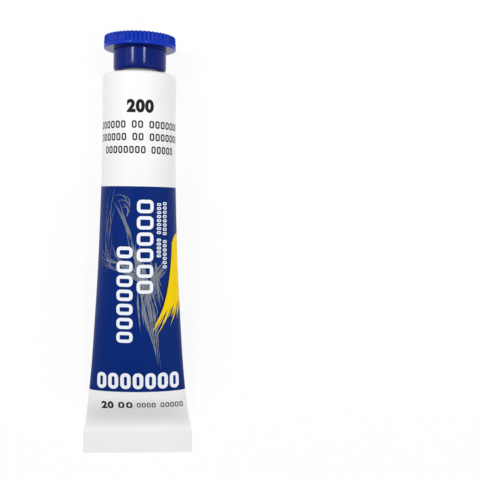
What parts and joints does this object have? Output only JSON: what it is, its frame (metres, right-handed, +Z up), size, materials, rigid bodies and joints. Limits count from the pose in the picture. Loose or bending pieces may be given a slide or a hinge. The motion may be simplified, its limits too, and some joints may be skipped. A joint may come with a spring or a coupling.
{
  "type": "paint tube",
  "caption": "Collapsible plastic laminate paint tube lying on its back, with a flat heat-sealed tail, a conical shoulder with a threaded neck, and a fluted mushroom screw cap.",
  "frame": {"origin": "middle of the footprint, on the surface that the tube lies on", "axes": "+Z up out of the printed front, +Y along the tube from the sealed tail to the cap, +X to the right seen from above with the cap away from the viewer"},
  "size_m": [0.0298, 0.1116, 0.019],
  "materials": {
    "laminate": "satin",
    "white_polyethylene": "satin",
    "foil": "satin",
    "liner_foam": "matte",
    "blue_polypropylene": "gloss",
    "white_paint": "gloss"
  },
  "bodies": {
    "tube": {"tube_sleeve": "laminate", "shoulder_neck": "white_polyethylene", "neck_foil": "foil", "paint_fill": "white_paint"},
    "liner": {"cap_liner": "liner_foam"},
    "cap": {"cap": "blue_polypropylene"}
  },
  "joints": [
    {"name": "cap_lift", "type": "slide", "parent": "tube", "child": "liner", "axis": [0, 1, 0], "range_m": [0, 0.006]},
    {"name": "cap_turn", "type": "hinge", "parent": "liner", "child": "cap", "pos_m": [0, 0.0515, 0.0095], "axis": [0, 1, 0], "range_deg": [0, 1440]}
  ],
  "couplings": [
    {"joint": "cap_turn", "follows": "cap_lift", "rad_per_m": 4188.8}
  ]
}
